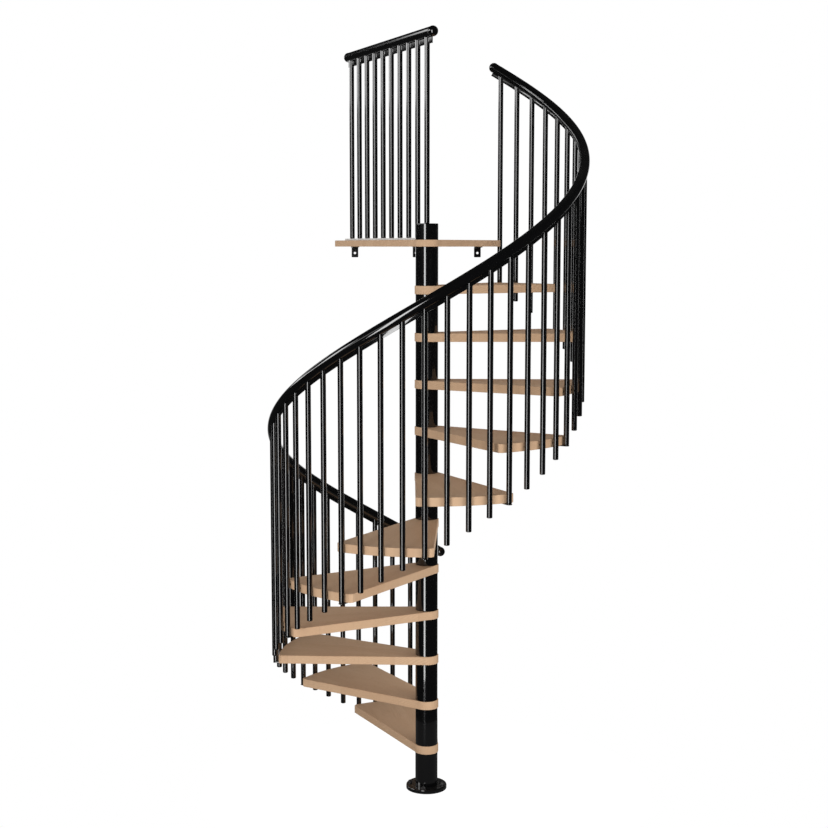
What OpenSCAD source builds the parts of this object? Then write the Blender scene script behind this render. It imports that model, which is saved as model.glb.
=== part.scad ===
// Spiral staircase: a steel column with wedge treads, a landing, and black railings.
// The origin is the centre of the base flange's underside. +Z is up, and +Y points
// from the column to the landing's far edge. The stair climbs counter-clockwise.

/* [Stair] */
// Height from the top of one tread to the top of the next
rise = 235; // [190:1:290]
// Number of treads below the landing
tread_count = 11; // [6:1:11]
// Turn from one tread to the next, in degrees
tread_turn = 30; // [24:0.5:36]

/* [Base flange] */
// Diameter of the flange on the floor
flange_d = 208; // [170:1:260]
// Thickness of the flange
flange_t = 20; // [12:1:30]
// Radius of the flange's top edge
flange_round = 4; // [1:0.5:6]
// Distance from a floor bolt's centre to the flange's edge
bolt_edge = 19; // [12:0.5:25]
// Diameter of each floor bolt's hole
bolt_hole_d = 14; // [8:1:16]
// Number of floor bolts
bolt_count = 4; // [3:1:8]
// Direction of the first floor bolt, in degrees
bolt_start = 79; // [0:1:90]

/* [Column] */
// Outer diameter of the spacer tubes
column_d = 114.3; // [90:0.1:140]
// Wall of the spacer tubes
column_wall = 4; // [2:0.5:8]
// Diameter of the inner post that the treads are threaded on
post_d = 60; // [40:1:76]
// Height of the column's top section above the landing
column_top_h = 80; // [60:1:120]
// Thickness of the cap in the column's top section
cap_t = 8; // [4:1:12]
// Radial clearance between the inner post and the bores round it
post_clearance = 0.3; // [0.2:0.1:1]

/* [Treads] */
// Thickness of a tread
tread_t = 42; // [30:1:50]
// Radius from the column's axis to a tread's outer edge
tread_r = 756; // [620:1:910]
// Width of the ring by which a tread's round collar stands out beyond the spacer tubes
collar_lip = 3.9; // [1:0.1:20]
// Turn by which a tread's outer corners reach past the foot balusters, in degrees
tread_overlap = 3.2; // [2.5:0.1:5]
// Clearance round the stair baluster that passes the landing's right side
notch_clearance = 2; // [1:0.5:6]
// Length of the flat across each outer corner
corner_cut = 12; // [4:1:25]
// Set-back of each side edge from the line that would touch the collar
side_inset = 2; // [1:0.5:6]

/* [Landing] */
// Thickness of the landing
landing_t = 34; // [28:1:42]
// Distance from the column's axis to the landing's far edge
landing_depth = 1000; // [930:5:1250]
// Distance that the landing's right side reaches past the last stair baluster's centre
landing_side = 0; // [-4:1:12]
// Direction of the last tread's rear corner, in degrees, with the far edge at 90
stair_end = 60; // [55:1:65]
// Direction of the landing's left side and its railing, in degrees
landing_rail_turn = 115; // [105:1:130]

/* [Landing brackets] */
// Number of brackets under the far edge
bracket_count = 3; // [2:1:4]
// Distance between two neighbouring brackets
bracket_spacing = 345; // [200:5:400]
// Width of a bracket's upright plate
bracket_w = 38; // [30:1:60]
// Drop of the upright plate below the landing
bracket_drop = 60; // [50:1:100]
// Length of the flange under the landing
bracket_flange = 70; // [40:1:120]
// Extra width of the flange on one side
bracket_ear = 8; // [0:1:20]
// Thickness of the bracket's plates
bracket_t = 5; // [3:0.5:10]
// Diameter of the wall bolt's hole
bracket_hole_d = 13; // [8:0.5:16]
// Depth of the wall bolt's hole below the landing
bracket_hole_drop = 36; // [20:1:45]

/* [Balusters] */
// Diameter of a baluster
baluster_d = 26.9; // [20:0.1:32]
// Number of balusters to each tread
balusters_per_tread = 4; // [2:1:5]
// Gap between a tread's outer edge and the balusters
baluster_gap = 3.55; // [1:0.05:12]
// Radius of the edge at a baluster's foot
baluster_round = 2; // [0.5:0.5:3]
// Number of balusters on the landing
landing_baluster_count = 10; // [4:1:12]
// Distance between two balusters on the landing
landing_baluster_pitch = 112; // [80:1:114]

/* [Baluster fixings] */
// Diameter of the distance piece between a tread's edge and a baluster
distance_d = 12; // [8:1:20]
// Thickness of the foot plates
foot_t = 5; // [3:0.5:8]
// Length of a foot plate under the tread
foot_l = 60; // [40:1:90]
// Clearance between a baluster or a handrail and the piece that seats on it
seat_clearance = 0.3; // [0.2:0.1:0.8]

/* [Handrails] */
// Diameter of the handrail tube
rail_d = 50.8; // [30:0.1:60]
// Height by which the ball at a handrail's end stands out beyond the tube
ball_lip = 1.0; // [0.5:0.1:12]
// Height of the stair handrail's centre above the pitch line of the treads
rail_h = 1118; // [950:1:1250]
// Height of the landing handrail's centre above the landing
landing_rail_h = 1004; // [900:1:1150]
// Length of the landing's handrail past the baluster on the column
rail_near_end = 60; // [30:1:120]
// Length of the landing's handrail past its last baluster
rail_far_end = 37; // [30:1:120]
// Length of the stair's handrail past its last baluster
rail_high_end = 41; // [30:1:120]
// Length of the stair's handrail past its first baluster
rail_low_end = 71; // [30:1:120]
// Thickness of the flat strips under the handrails
strip_t = 6; // [4:0.5:8]
// Height of the flat strip under the stair's handrail
strip_h = 17; // [10:1:40]
// Height of the flat strip under the landing's handrail
landing_strip_h = 30; // [10:1:40]
// Clearance on each side of the strip in a baluster's slot
slot_clearance = 0.5; // [0.4:0.1:1]
// Height of the flat bar that the landing's balusters stand on
bar_h = 10; // [6:1:20]
// Width of the flat bar that the landing's balusters stand on
bar_w = 30; // [24:1:40]
// Clearance from the flat bar's ends to the column and to the landing's far edge
bar_margin = 12; // [2:1:30]

/* [Hidden] */
// Levels.
spacer_h = rise - tread_t;
landing_z = (tread_count + 1) * rise - tread_t;
landing_top = landing_z + landing_t;
column_top_z = landing_top + column_top_h;

// The treads. A tread is numbered from 1, and its rear corner points at rear_turn(n).
collar_r = column_d / 2 + collar_lip;
side_r = collar_r - side_inset;
corner_turn = tread_turn / 2 + tread_overlap;
tread_lean = corner_turn - asin(side_r / tread_r);
start_turn = 360 + stair_end - tread_count * tread_turn;
function rear_turn(n) = start_turn + n * tread_turn;
function centre_turn(n) = rear_turn(n) - tread_turn / 2;

// The stair railing. A baluster is numbered from 0 and stands on the helix.
baluster_r = baluster_d / 2;
railing_r = tread_r + baluster_gap + baluster_r;
baluster_turn = tread_turn / balusters_per_tread;
baluster_count = tread_count * balusters_per_tread + 1;
helix_rise = rise / tread_turn;
helix_slope = atan(helix_rise * 180 / (PI * railing_r));
rail_r = rail_d / 2;
function pitch_z(a) = (a - start_turn) * helix_rise;
function rail_z(a) = pitch_z(a) + rail_h;
function baluster_angle(k) = start_turn + k * baluster_turn;
stair_top_drop = rail_r / cos(helix_slope) + baluster_r * tan(helix_slope) + slot_clearance;

// The ends of the handrails.
ball_r = rail_r + ball_lip;
ball_seat = sqrt(ball_r * ball_r - rail_r * rail_r);
function along_helix_turn(l) = l * cos(helix_slope) * 180 / (PI * railing_r);
rail_low_turn = start_turn - along_helix_turn(rail_low_end);
rail_high_turn = rear_turn(tread_count) + along_helix_turn(rail_high_end);

// The landing railing runs along its own X axis from the column's axis.
landing_rail_z = landing_top + landing_rail_h;
landing_tube_l = rail_near_end + (landing_baluster_count - 1) * landing_baluster_pitch + rail_far_end;
landing_top_drop = rail_r + slot_clearance;
bar_start = column_d / 2 + bar_margin;
bar_end = landing_depth / sin(landing_rail_turn) - bar_w / 2 * abs(1 / tan(landing_rail_turn)) - bar_margin;

// The landing's outline, in corners.
landing_right = railing_r * cos(stair_end) + landing_side;
nosing_turn = centre_turn(tread_count + 1) - tread_lean;
nosing_start = side_r * [sin(nosing_turn), -cos(nosing_turn)];
nosing_l = (landing_right - nosing_start[0]) / cos(nosing_turn);
nosing_corner = nosing_start + nosing_l * [cos(nosing_turn), sin(nosing_turn)];
left_start = side_r * [-sin(landing_rail_turn), cos(landing_rail_turn)];
left_l = (landing_depth - left_start[1]) / sin(landing_rail_turn);
left_corner = left_start + left_l * [cos(landing_rail_turn), sin(landing_rail_turn)];
bracket_mid = (left_corner[0] + landing_right) / 2;

// Fineness of what is swept along the helix, and of the round shapes.
sweep_step = baluster_turn / 2;
tube_sides = 16;
$fn = 96;
eps = 0.01;
steel_colour = [0.05, 0.05, 0.055];
bar_colour = [0.9, 0.9, 0.89];
wood_colour = [0.78, 0.63, 0.5];

// ---- Places ----

// At a point of the handrail's centre line: X outward, Y along the climb, Z up.
module on_helix(a) {
    translate([railing_r * cos(a), railing_r * sin(a), rail_z(a)]) rotate([0, 0, a]) children();
}

// At a point of the railing's circle at height z: X outward, Y along the climb.
module on_circle(a, z) {
    translate([railing_r * cos(a), railing_r * sin(a), z]) rotate([0, 0, a]) children();
}

// In the landing railing's own frame: X along it from the column's axis.
module on_landing_rail(z) {
    translate([0, 0, z]) rotate([0, 0, landing_rail_turn]) children();
}

// ---- Shapes that repeat ----

// A round baluster from z = 0 up, with a rounded foot.
module baluster_rod(l) {
    rotate_extrude() union() {
        translate([0, baluster_round]) square([baluster_r, l - baluster_round]);
        square([baluster_r - baluster_round, baluster_round + eps]);
        translate([baluster_r - baluster_round, baluster_round]) intersection() {
            circle(r = baluster_round);
            translate([0, -baluster_round]) square(baluster_round + eps);
        }
    }
}

// The slot that takes the strip, about the handrail's centre, level along Y.
module strip_slot(depth_below) {
    slot_w = strip_t + 2 * slot_clearance;
    translate([-slot_w / 2, -2 * baluster_d, -depth_below]) cube([slot_w, 4 * baluster_d, 4 * baluster_d]);
}

// A stair baluster whose foot is at foot_z, slotted for the sloping strip.
module stair_baluster(a, foot_z) {
    l = rail_z(a) - stair_top_drop - foot_z;
    difference() {
        on_circle(a, foot_z) baluster_rod(l);
        on_helix(a) rotate([helix_slope, 0, 0]) strip_slot(rail_r + strip_h + slot_clearance);
    }
}

// A ball with a flat that seats on a tube's end. The tube runs along -X from the flat.
module ball_end() {
    rotate([0, 90, 0]) rotate_extrude() translate([0, ball_seat]) intersection() {
        circle(r = ball_r);
        translate([0, -ball_seat]) square([ball_r, ball_seat + ball_r]);
    }
}

// A closed sweep: rings of the same number of points, each ring a list of points.
module sweep(rings) {
    n = len(rings[0]);
    m = len(rings);
    sides = [for (i = [0:m - 2]) for (j = [0:n - 1]) let (k = (j + 1) % n)
        each [[i * n + j, i * n + k, (i + 1) * n + k], [i * n + j, (i + 1) * n + k, (i + 1) * n + j]]];
    low_end = [[for (j = [0:n - 1]) n - 1 - j]];
    high_end = [[for (j = [0:n - 1]) (m - 1) * n + j]];
    polyhedron([for (ring = rings) each ring], concat(sides, low_end, high_end), convexity = 10);
}

// A point beside the handrail's centre line: u outward, v square to the climb.
function helix_point(a, u, v) = [
    (railing_r + u) * cos(a) + v * sin(helix_slope) * sin(a),
    (railing_r + u) * sin(a) - v * sin(helix_slope) * cos(a),
    rail_z(a) + v * cos(helix_slope)];

// A section [[u, v], ...] carried along the handrail from one angle to another.
module helix_sweep(section, from, to) {
    steps = ceil((to - from) / sweep_step);
    sweep([for (i = [0:steps]) let (a = from + (to - from) * i / steps)
        [for (p = section) helix_point(a, p[0], p[1])]]);
}

// ---- Column ----

module base_flange() {
    color(steel_colour) difference() {
        rotate_extrude() union() {
            square([flange_d / 2, flange_t - flange_round]);
            square([flange_d / 2 - flange_round, flange_t]);
            translate([flange_d / 2 - flange_round, flange_t - flange_round]) circle(r = flange_round);
        }
        for (i = [0:bolt_count - 1])
            rotate([0, 0, bolt_start + i * 360 / bolt_count])
                translate([flange_d / 2 - bolt_edge, 0, -1]) cylinder(d = bolt_hole_d, h = flange_t + 2);
    }
}

module column_post() {
    post_h = column_top_z - cap_t - flange_t;
    color(steel_colour) translate([0, 0, flange_t]) cylinder(d = post_d, h = post_h);
}

module tube(h) {
    difference() {
        cylinder(d = column_d, h = h);
        translate([0, 0, -1]) cylinder(d = column_d - 2 * column_wall, h = h + 2);
    }
}

// The first spacer stands on the flange, and each other one on a tread.
module column_spacers() {
    color(steel_colour) {
        translate([0, 0, flange_t]) tube(spacer_h - flange_t);
        for (n = [1:tread_count]) translate([0, 0, n * rise]) tube(spacer_h);
    }
}

module column_top() {
    color(steel_colour) translate([0, 0, landing_top]) difference() {
        cylinder(d = column_d, h = column_top_h);
        translate([0, 0, -1]) cylinder(d = column_d - 2 * column_wall, h = column_top_h - cap_t + 1);
    }
}

// ---- Treads and landing ----

module post_bore(h) {
    translate([0, 0, -1]) cylinder(r = post_d / 2 + post_clearance, h = h + 2);
}

// Half of a tread's outline, from the collar along the side edge and across the corner.
// The last two points lie beyond the outer arc, which is cut afterwards.
function tread_side(sign) =
    let (corner_a = sign * corner_turn,
         edge = [cos(tread_lean), sign * sin(tread_lean)],
         corner = tread_r * [cos(corner_a), sin(corner_a)],
         cut_a = sign * (corner_turn - corner_cut * 180 / (PI * tread_r)),
         cut_start = corner - corner_cut * edge,
         beyond = 2 * tread_r * [cos(cut_a), sin(cut_a)] - cut_start)
    [side_r * [-sin(tread_lean), sign * cos(tread_lean)], cut_start, beyond, 1.1 * beyond];

module tread_outline() {
    circle(r = collar_r);
    intersection() {
        polygon(concat(tread_side(-1), [for (i = [3:-1:0]) tread_side(1)[i]]));
        circle(r = tread_r);
    }
}

module tread(n) {
    color(wood_colour) translate([0, 0, n * rise - tread_t]) rotate([0, 0, centre_turn(n)]) difference() {
        linear_extrude(tread_t) tread_outline();
        post_bore(tread_t);
    }
}

// A round notch in the right side lets the last stair baluster pass.
module landing_platform() {
    notch_r = baluster_r + notch_clearance;
    cut_along = corner_cut * [cos(nosing_turn), sin(nosing_turn)];
    color(wood_colour) translate([0, 0, landing_z]) difference() {
        linear_extrude(landing_t) union() {
            circle(r = collar_r);
            polygon([nosing_start, nosing_corner - cut_along, nosing_corner + [0, corner_cut],
                [landing_right, landing_depth], left_corner, left_start]);
        }
        post_bore(landing_t);
        translate([railing_r * cos(stair_end), railing_r * sin(stair_end), -1])
            cylinder(r = notch_r, h = landing_t + 2);
    }
}

module landing_brackets() {
    color(steel_colour)
        for (i = [0:bracket_count - 1])
            translate([bracket_mid + (i - (bracket_count - 1) / 2) * bracket_spacing, landing_depth, landing_z])
                difference() {
                    union() {
                        translate([-bracket_w / 2, -bracket_t, -bracket_drop])
                            cube([bracket_w, bracket_t, bracket_drop]);
                        translate([-bracket_w / 2, -bracket_flange, -bracket_t])
                            cube([bracket_w + bracket_ear, bracket_flange, bracket_t]);
                    }
                    translate([0, 1, -bracket_hole_drop]) rotate([90, 0, 0])
                        cylinder(d = bracket_hole_d, h = bracket_t + 2);
                }
}

// ---- Landing railing ----

module landing_base_bar() {
    color(bar_colour) on_landing_rail(landing_top)
        translate([bar_start, -bar_w / 2, 0]) cube([bar_end - bar_start, bar_w, bar_h]);
}

// The first one stands on the column's cap, and the others on the flat bar.
module landing_balusters() {
    color(steel_colour)
        for (k = [0:landing_baluster_count - 1]) {
            foot_z = k == 0 ? column_top_z : landing_top + bar_h;
            difference() {
                on_landing_rail(foot_z) translate([k * landing_baluster_pitch, 0, 0])
                    baluster_rod(landing_rail_z - landing_top_drop - foot_z);
                on_landing_rail(landing_rail_z) translate([k * landing_baluster_pitch, 0, 0])
                    rotate([0, 0, 90]) strip_slot(rail_r + landing_strip_h + slot_clearance);
            }
        }
}

module landing_rail_strip() {
    color(steel_colour) on_landing_rail(landing_rail_z)
        translate([-rail_near_end, -strip_t / 2, -rail_r - landing_strip_h])
            cube([landing_tube_l, strip_t, landing_strip_h - seat_clearance]);
}

module landing_handrail() {
    color(steel_colour) on_landing_rail(landing_rail_z)
        translate([-rail_near_end, 0, 0]) rotate([0, 90, 0])
            cylinder(r = rail_r, h = landing_tube_l);
}

module landing_handrail_ends() {
    color(steel_colour) on_landing_rail(landing_rail_z) {
        translate([landing_tube_l - rail_near_end, 0, 0]) ball_end();
        translate([-rail_near_end, 0, 0]) rotate([0, 0, 180]) ball_end();
    }
}

// ---- Stair railing ----

// The lowest baluster stands on the floor.
module first_baluster() {
    color(steel_colour) stair_baluster(baluster_angle(0), 0);
}

// The balusters along the outer edge of tread n. The last one stands at its rear corner.
module balusters(n) {
    color(steel_colour)
        for (k = [(n - 1) * balusters_per_tread + 1:n * balusters_per_tread])
            stair_baluster(baluster_angle(k), pitch_z(baluster_angle(k)) - tread_t);
}

// A short distance piece on the screw that fixes each baluster to the edge of its tread.
module baluster_distance_pieces() {
    color(steel_colour)
        for (n = [1:tread_count]) for (k = [(n - 1) * balusters_per_tread:n * balusters_per_tread - 1])
            rotate([0, 0, baluster_angle(k)]) translate([tread_r, 0, n * rise - tread_t / 2])
                rotate([0, 90, 0]) cylinder(d = distance_d, h = baluster_gap - seat_clearance);
}

// A plate under each tread's rear corner, as wide as the baluster whose foot it carries.
module baluster_foot_plates() {
    color(steel_colour)
        for (n = [1:tread_count])
            on_circle(rear_turn(n), n * rise - tread_t - foot_t) {
                cylinder(r = baluster_r, h = foot_t);
                translate([-baluster_r - foot_l, -baluster_r, 0])
                    cube([foot_l + baluster_r, baluster_d, foot_t]);
            }
}

module stair_rail_strip() {
    top = -rail_r - seat_clearance;
    low = -rail_r - strip_h;
    u = strip_t / 2;
    color(steel_colour)
        helix_sweep([[-u, low], [-u, top], [u, top], [u, low]], rail_low_turn, rail_high_turn);
}

// The section is a polygon round the tube's circle, with one flat facing down.
module stair_handrail() {
    tube_r = rail_r / cos(180 / tube_sides);
    color(steel_colour)
        helix_sweep([for (i = [0:tube_sides - 1]) let (b = -(i + 0.5) * 360 / tube_sides)
            tube_r * [cos(b), sin(b)]], rail_low_turn, rail_high_turn);
}

module stair_handrail_ends() {
    color(steel_colour) {
        on_helix(rail_high_turn) rotate([helix_slope, 0, 0]) rotate([0, 0, 90]) ball_end();
        on_helix(rail_low_turn) rotate([helix_slope, 0, 0]) rotate([0, 0, -90]) ball_end();
    }
}

base_flange();
column_post();
column_spacers();
column_top();
for (n = [1:tread_count]) tread(n);
landing_platform();
landing_brackets();
landing_base_bar();
landing_balusters();
landing_rail_strip();
landing_handrail();
landing_handrail_ends();
first_baluster();
for (n = [1:tread_count]) balusters(n);
baluster_distance_pieces();
baluster_foot_plates();
stair_rail_strip();
stair_handrail();
stair_handrail_ends();
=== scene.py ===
"""A spiral staircase with oak treads, a landing and gloss black railings.

Every piece is a surface worked out with numpy in the frame's own coordinates,
in metres: +Z up, the column's axis at the origin, the landing towards +Y. The
stair climbs counter-clockwise seen from above.
"""

from __future__ import annotations

import logging
import math
from dataclasses import dataclass, field
from enum import Enum
from typing import Any, Callable, Optional, Sequence, Union

import bmesh
import bpy
import numpy as np
from mathutils.geometry import tessellate_polygon
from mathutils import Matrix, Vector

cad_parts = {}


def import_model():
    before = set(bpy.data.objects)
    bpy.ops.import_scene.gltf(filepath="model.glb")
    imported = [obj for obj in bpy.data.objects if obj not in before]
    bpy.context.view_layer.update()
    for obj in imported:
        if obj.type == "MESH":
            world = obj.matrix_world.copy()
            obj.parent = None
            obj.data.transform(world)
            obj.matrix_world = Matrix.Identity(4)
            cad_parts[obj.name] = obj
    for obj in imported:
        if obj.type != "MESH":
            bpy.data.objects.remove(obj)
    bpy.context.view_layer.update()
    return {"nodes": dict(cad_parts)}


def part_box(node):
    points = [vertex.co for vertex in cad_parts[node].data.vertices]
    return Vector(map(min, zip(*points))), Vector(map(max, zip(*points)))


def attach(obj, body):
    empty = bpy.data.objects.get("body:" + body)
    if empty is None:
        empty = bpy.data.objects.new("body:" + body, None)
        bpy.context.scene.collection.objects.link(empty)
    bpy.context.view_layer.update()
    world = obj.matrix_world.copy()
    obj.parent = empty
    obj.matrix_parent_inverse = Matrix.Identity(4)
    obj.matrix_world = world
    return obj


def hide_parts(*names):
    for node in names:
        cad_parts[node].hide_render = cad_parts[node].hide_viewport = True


LOG = logging.getLogger("spiral_staircase")
MM = 0.001
WELD = 1e-6
SLIVER = 1e-7
GRAIN = "grain"

Colour = tuple[float, float, float]
Value = Union[float, "Field"]
Span = tuple[float, float]
Points = Union[np.ndarray, Sequence[Sequence[float]]]
Triple = tuple[np.ndarray, np.ndarray, np.ndarray]


class Slot(Enum):
    """The material slots of the record."""

    OAK = "oak"
    STEEL = "steel_black"
    HANDRAIL = "handrail_black"
    BAR = "bar_white"


# ---- mesh code ----


@dataclass
class Solid:
    """A closed surface: points, and faces of four and of three corners."""

    points: np.ndarray
    quads: np.ndarray
    triangles: np.ndarray = field(default_factory=lambda: np.zeros((0, 3), int))

    def volume(self) -> float:
        """Add up a.(b x c)/6 over all triangles.

        Returns:
            The volume, negative where the faces point inwards.
        """
        quads = self.quads
        tri = np.concatenate([quads[:, [0, 1, 2]], quads[:, [0, 2, 3]], self.triangles])
        a, b, c = (self.points[tri[:, i]] for i in range(3))
        return float(np.einsum("ij,ij->i", a, np.cross(b, c)).sum() / 6)

    def outward(self) -> "Solid":
        """Turn all the faces outwards.

        Returns:
            This solid, or one with its faces turned round.
        """
        if self.volume() >= 0:
            return self
        return Solid(self.points, self.quads[:, ::-1], self.triangles[:, ::-1])

    def placed(self, origin: Sequence[float], axes: Sequence[Sequence[float]]) -> "Solid":
        """Carry the solid to an origin, with its X, Y and Z along the axes there."""
        points = np.asarray(origin, float) + self.points @ np.asarray(axes, float)
        return Solid(points, self.quads, self.triangles).outward()


def grid_quads(rows: int, columns: int) -> np.ndarray:
    """Return the quads between neighbouring rows of a grid whose rows are closed.

    Args:
        rows: the number of rows.
        columns: the number of points in each row.

    Returns:
        An array of four point numbers to a quad.
    """
    here = np.arange(rows - 1)[:, None] * columns + np.arange(columns)
    after = np.roll(here, -1, 1)
    return np.stack([here, after, after + columns, here + columns], -1).reshape(-1, 4)


def closed_grid(points: np.ndarray) -> Solid:
    """Return a solid from rows of closed rings that end in points or meet again."""
    rows, columns = points.shape[:2]
    return Solid(points.reshape(-1, 3), grid_quads(rows, columns)).outward()


def revolve(profile: Points, sides: int) -> Solid:
    """Turn a profile about Z: (r cos t, r sin t, z) for t round the circle.

    Args:
        profile: rows of (radius, height), which start and end on the axis or
            come back to their start.
        sides: the number of points round the circle.

    Returns:
        The solid of revolution.
    """
    t = np.arange(sides) * 2 * np.pi / sides
    radius, height = np.split(np.asarray(profile, float), 2, 1)
    ring = [radius * np.cos(t), radius * np.sin(t), height + 0 * t]
    return closed_grid(np.stack(ring, -1))


def direction(turn: Union[float, np.ndarray]) -> np.ndarray:
    """Return (cos, sin) of an angle in degrees, or of each of an array."""
    return np.stack([np.cos(np.radians(turn)), np.sin(np.radians(turn))], -1)


def turn_of(point: np.ndarray) -> float:
    """Return the angle in degrees at which a point lies."""
    return math.degrees(math.atan2(point[1], point[0]))


def arc(
    centre: Sequence[float], radius: float, start: float, end: float, steps: int = 4
) -> np.ndarray:
    """Return the points of an arc from one angle to another, in degrees."""
    return np.asarray(centre, float) + radius * direction(np.linspace(start, end, steps + 1))


def softened(
    corners: np.ndarray, radii: Union[float, Sequence[float]], steps: int = 5
) -> np.ndarray:
    """Round the corners of a closed outline.

    A corner p gives way to the curve (1-s)^2 a + 2s(1-s) p + s^2 b, where a and
    b lie on the two edges where a circle of the radius would touch them, and no
    further along than 0.45 of the shorter edge.

    Args:
        corners: the outline's corners in order.
        radii: one radius, or one for each corner, where 0 keeps the corner.
        steps: the number of steps in each curve.

    Returns:
        The rounded outline.
    """
    radii = np.broadcast_to(np.asarray(radii, float), (len(corners),))
    before, after = np.roll(corners, 1, 0) - corners, np.roll(corners, -1, 0) - corners
    before_l, after_l = np.linalg.norm(before, axis=1), np.linalg.norm(after, axis=1)
    before, after = before / before_l[:, None], after / after_l[:, None]
    half_turn = (np.pi - np.arccos(np.clip((before * after).sum(1), -1, 1))) / 2
    reach = np.minimum(radii * np.tan(half_turn), 0.45 * np.minimum(before_l, after_l))
    a = corners + before * reach[:, None]
    b = corners + after * reach[:, None]
    s = np.linspace(0, 1, steps + 1)[:, None, None]
    curves = (1 - s) ** 2 * a + 2 * s * (1 - s) * corners + s**2 * b
    kept = np.ones((steps + 1, len(corners)), bool)
    kept[1:, reach == 0] = False
    return curves.transpose(1, 0, 2)[kept.T]


def divided(outline: np.ndarray, spacing: float) -> np.ndarray:
    """Divide each edge of a closed outline into equal parts.

    Args:
        outline: the outline's points.
        spacing: the length that no part exceeds.

    Returns:
        The outline with the new points between its own.
    """
    step = np.roll(outline, -1, 0) - outline
    parts = np.maximum(1, np.ceil(np.linalg.norm(step, axis=1) / spacing)).astype(int)
    edge = np.repeat(np.arange(len(outline)), parts)
    within = np.arange(parts.sum()) - np.repeat(np.cumsum(parts) - parts, parts)
    return outline[edge] + step[edge] * (within / parts[edge])[:, None]


def inset(outline: np.ndarray, distance: np.ndarray) -> np.ndarray:
    """Move a closed outline towards its left by each of several distances.

    Each corner moves along its mitre, (n1 + n2) / (1 + n1.n2), where n1 and n2
    are the outward normals of the edges that meet there.

    Args:
        outline: the outline's points, with the material on the left.
        distance: the distances.

    Returns:
        An array of distances x points x 2.
    """
    step = np.roll(outline, -1, 0) - outline
    normal = np.stack([step[:, 1], -step[:, 0]], -1) / np.linalg.norm(step, axis=1)[:, None]
    earlier = np.roll(normal, 1, 0)
    mitre = (normal + earlier) / (1 + (normal * earlier).sum(1))[:, None]
    return outline - distance[:, None, None] * mitre


def edge_rows(thickness: float, low: float, high: float, land: float = 1.5 * MM) -> np.ndarray:
    """Return the section of a board's edge with a rounding at the top and bottom.

    Args:
        thickness: the board's thickness.
        low: radius of the lower rounding.
        high: radius of the upper rounding.
        land: width of the narrow flat that keeps each rounding's shading short.

    Returns:
        Rows of (inset, height) from the underside round to the top.
    """
    under = arc((low, low), low, 270, 180)
    over = arc((high, thickness - high), high, 180, 90)
    return np.concatenate([
        [[low + land, 0]], under, [[0, low + land]],
        [[0, thickness - high - land]], over, [[high + land, thickness]],
    ])


def slab(
    outline: np.ndarray, thickness: float, low: float, high: float,
    holes: Sequence[np.ndarray] = (), hole_edge: float = 0.4 * MM,
) -> Solid:
    """Return a flat board with rounded edges, and holes through it.

    The edge's section is carried round each loop: a point of the loop moves in
    by the section's inset and stands at its height. Two flat faces close it.

    Args:
        outline: the board's outline, counter-clockwise.
        thickness: its thickness, along Z from 0.
        low: radius of the lower edge.
        high: radius of the upper edge.
        holes: the holes' outlines, counter-clockwise.
        hole_edge: radius of the holes' edges.

    Returns:
        The board.
    """
    points, quads, ends, offset = [], [], ([], []), 0
    sections = [edge_rows(thickness, low, high)]
    sections += [edge_rows(thickness, hole_edge, hole_edge, hole_edge)] * len(holes)
    for loop, section in zip([outline, *(h[::-1] for h in holes)], sections):
        rings = inset(loop, section[:, 0])
        heights = np.broadcast_to(section[:, 1:, None], (*rings.shape[:2], 1))
        grid = np.concatenate([rings, heights], -1)
        points.append(grid.reshape(-1, 3))
        quads.append(grid_quads(*grid.shape[:2]) + offset)
        numbers = np.arange(grid.shape[0] * grid.shape[1]).reshape(grid.shape[:2]) + offset
        for end, row in zip(ends, (0, -1)):
            end.append((grid[row], numbers[row]))
        offset += len(points[-1])
    triangles = []
    for end, facing in zip(ends, (-1, 1)):
        faces = np.array(tessellate_polygon([loop.tolist() for loop, _ in end]))
        flat = np.concatenate([loop for loop, _ in end])
        a, b, c = (flat[faces[:, i], :2] for i in range(3))
        area = np.cross(b - a, c - a)
        faces[area * facing < 0] = faces[area * facing < 0][:, ::-1]
        triangles.append(np.concatenate([n for _, n in end])[faces])
    board = Solid(np.concatenate(points), np.concatenate(quads), np.concatenate(triangles))
    return board.outward()


def circle(radius: float, sides: int, centre: Sequence[float] = (0.0, 0.0)) -> np.ndarray:
    """Return a closed circle as rows of two coordinates, counter-clockwise."""
    return arc(centre, radius, 0, 360, sides)[:-1]


def rectangle(left: float, low: float, right: float, high: float) -> np.ndarray:
    """Return a rectangle's corners, counter-clockwise from the lower left one."""
    return np.array([[left, low], [right, low], [right, high], [left, high]])


def swept(
    origin: np.ndarray, outward: np.ndarray, upward: np.ndarray, section: np.ndarray
) -> Solid:
    """Carry a closed section along a path: origin + u outward + v upward.

    Args:
        origin: the path's points.
        outward: the direction of u at each point.
        upward: the direction of v at each point.
        section: the section's rows of (u, v).

    Returns:
        The solid, closed at both ends.
    """
    u, v = section[:, 0][None, :, None], section[:, 1][None, :, None]
    rings = origin[:, None] + u * outward[:, None] + v * upward[:, None]
    low, high = rings[:1].mean(1, keepdims=True), rings[-1:].mean(1, keepdims=True)
    ones = np.ones((1, len(section), 1))
    return closed_grid(np.concatenate([low * ones, rings, high * ones]))


def z_turn(degrees: float) -> np.ndarray:
    """Return the X, Y and Z axes turned about Z."""
    c, s = direction(degrees)
    return np.array([[c, s, 0], [-s, c, 0], [0, 0, 1.0]])


UPRIGHT = z_turn(0)
UPSIDE_DOWN = np.diag([1.0, -1.0, -1.0])


def linked(name: str, data: bpy.types.ID) -> bpy.types.Object:
    """Put a new object in the scene.

    Args:
        name: its name.
        data: its mesh, light or camera.

    Returns:
        The object.
    """
    made = bpy.data.objects.new(name, data)
    bpy.context.scene.collection.objects.link(made)
    return made


@dataclass(frozen=True)
class Finish:
    """A material, and the slot of the record that it stands for."""

    material: bpy.types.Material
    slot: Slot


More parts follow.
